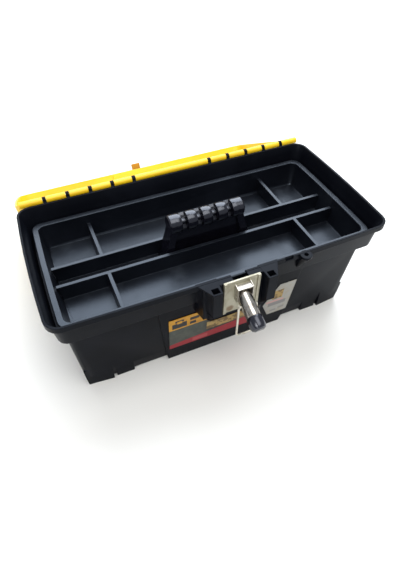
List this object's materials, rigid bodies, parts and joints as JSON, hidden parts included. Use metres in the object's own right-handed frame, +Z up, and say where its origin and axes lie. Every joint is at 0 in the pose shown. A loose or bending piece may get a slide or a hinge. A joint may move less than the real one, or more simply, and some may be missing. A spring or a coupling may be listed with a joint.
{
  "type": "toolbox with tray",
  "caption": "Hand toolbox with a hinged lid, a wire draw latch and a lift-out divided tray with a ribbed grip.",
  "frame": {"origin": "centre of the body's flat base, on the surface it stands on", "axes": "+X along the box to the right of someone facing the latch, +Y from the latch towards the hinge, +Z up"},
  "size_m": [0.4128, 0.4573, 0.1685],
  "materials": {
    "black_plastic": "satin black moulded plastic",
    "gloss_black_plastic": "smooth glossy black plastic",
    "yellow_plastic": "satin bright yellow moulded plastic",
    "plated_steel": "cream zinc plating",
    "chrome": "bright plated sheet",
    "steel_wire": "plated wire",
    "printed_film": "printed film with plain colour blocks"
  },
  "bodies": {
    "box": {"body_shell": "black_plastic", "hinge_pin_left": "steel_wire", "hinge_pin_right": "steel_wire", "label_main": "printed_film", "label_side": "printed_film", "latch_plate": "plated_steel", "latch_rivet_lower": "steel_wire", "latch_rivet_upper": "steel_wire", "latch_lever_pin": "steel_wire"},
    "lid": {"lid_shell": "yellow_plastic", "lid_catch": "plated_steel", "lid_catch_rivet_left": "steel_wire", "lid_catch_rivet_right": "steel_wire", "lid_handle_pin_left": "steel_wire", "lid_handle_pin_right": "steel_wire"},
    "lid_grip": {"lid_handle": "gloss_black_plastic"},
    "tray": {"tray_shell": "black_plastic", "tray_handle": "gloss_black_plastic"},
    "lever": {"latch_lever": "chrome", "latch_lever_cap": "gloss_black_plastic"},
    "bail": {"latch_bail": "steel_wire"}
  },
  "joints": [
    {"name": "lid_hinge", "type": "hinge", "parent": "box", "child": "lid", "pos_m": [0, 0.1072, 0.157], "axis": [-1, 0, 0], "range_deg": [-210.4, 0]},
    {"name": "lid_handle_fold", "type": "hinge", "parent": "lid", "child": "lid_grip", "pos_m": [0, 0.17841, 0.06653], "axis": [-1, 0, 0], "range_deg": [-59.6, 30.4]},
    {"name": "tray_lift", "type": "slide", "parent": "box", "child": "tray", "axis": [0, 0, 1], "range_m": [0, 0.018]},
    {"name": "lever_pivot", "type": "hinge", "parent": "box", "child": "lever", "pos_m": [0, -0.1175, 0.138], "axis": [-1, 0, 0], "range_deg": [-69, 0]},
    {"name": "bail_swing", "type": "hinge", "parent": "lever", "child": "bail", "pos_m": [0, -0.12845, 0.13219], "axis": [-1, 0, 0], "range_deg": [0, 248.5]}
  ],
  "couplings": [
    {"joint": "bail_swing", "follows": "lever_pivot", "ratio": -3.6}
  ]
}
